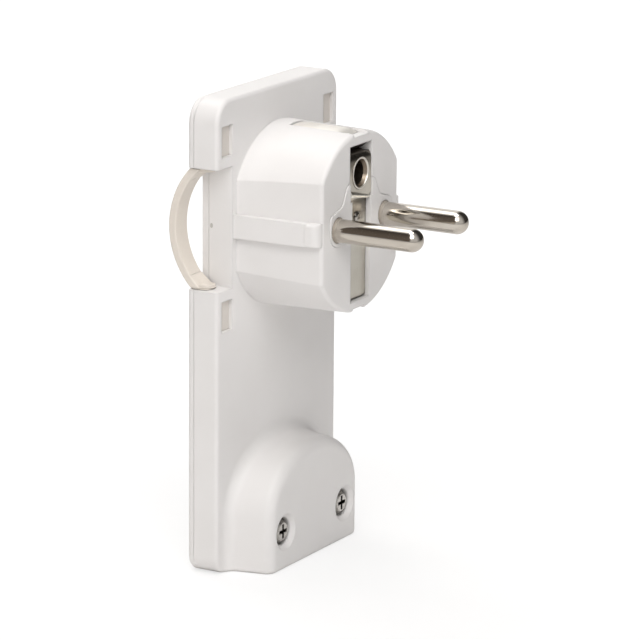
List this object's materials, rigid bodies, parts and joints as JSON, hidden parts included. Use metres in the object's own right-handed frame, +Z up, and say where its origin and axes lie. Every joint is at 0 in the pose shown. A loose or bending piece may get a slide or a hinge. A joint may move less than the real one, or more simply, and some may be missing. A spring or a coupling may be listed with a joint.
{
  "type": "flat type f plug",
  "caption": "Flat mains plug with round contact pins, an earth strap with a tube for an earth pin, a hump over the cord entry and a hinged pull bow in a side notch.",
  "frame": {"origin": "on the engaging face of the boss, midway between the contact pins", "axes": "+Z up along the plate, +Y to the rear of the plug, so the pins point to -Y, +X to the right seen from the pin side"},
  "size_m": [0.048, 0.0505, 0.098],
  "materials": {
    "white_plastic": "satin moulded plastic",
    "cream_plastic": "smooth moulded plastic",
    "plated_brass": "bright nickel plate",
    "screw_steel": "zinc plate",
    "clamp_plastic": "moulded plastic"
  },
  "bodies": {
    "plug": {"front_housing": "white_plastic", "rear_cover": "white_plastic", "pin_bridge": "white_plastic", "line_pin": "plated_brass", "neutral_pin": "plated_brass", "line_terminal_screw": "screw_steel", "neutral_terminal_screw": "screw_steel", "earth_strap": "plated_brass", "earth_socket": "plated_brass", "earth_terminal": "plated_brass", "earth_terminal_screw": "screw_steel", "strap_rivet": "plated_brass", "housing_screws": "screw_steel", "cord_clamp": "clamp_plastic", "cord_clamp_screws": "screw_steel"},
    "bow": {"pull_bow": "cream_plastic"}
  },
  "joints": [
    {"name": "bow_hinge", "type": "hinge", "parent": "plug", "child": "bow", "pos_m": [-0.02105, 0.0235, 0], "axis": [0, 0, 1], "range_deg": [0, 90]}
  ]
}
